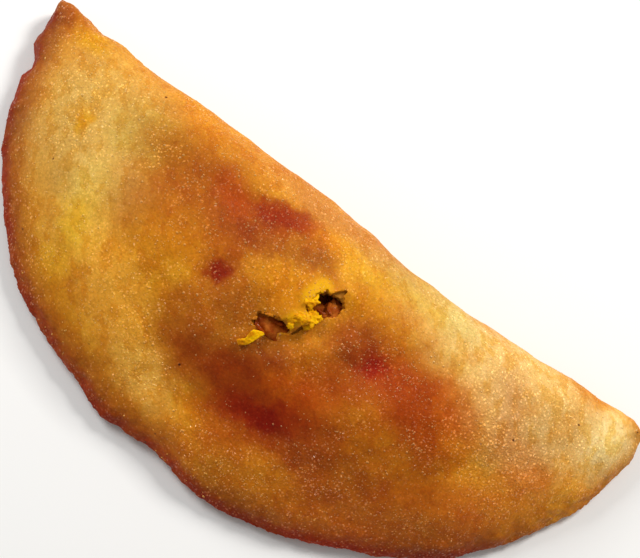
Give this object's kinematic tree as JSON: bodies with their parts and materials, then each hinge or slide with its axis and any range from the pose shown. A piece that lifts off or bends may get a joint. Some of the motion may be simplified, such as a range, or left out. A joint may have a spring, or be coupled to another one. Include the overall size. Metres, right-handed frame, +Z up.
{
  "type": "empanada",
  "caption": "Fried half-moon empanada of maize dough with a sealed round edge, torn open on top over its meat filling.",
  "frame": {"origin": "on the plate, under the middle of the empanada's box", "axes": "+X along the fold from the pointed tip to the rounded tip, +Y from the round edge to the fold, +Z up"},
  "size_m": [0.13, 0.056, 0.0215],
  "materials": {
    "crust": "fried golden maize crust, oily and browned along its edge",
    "filling": "moist shredded meat filling, red brown"
  },
  "bodies": {
    "root": {"crust": "crust", "filling": "filling"}
  },
  "joints": []
}
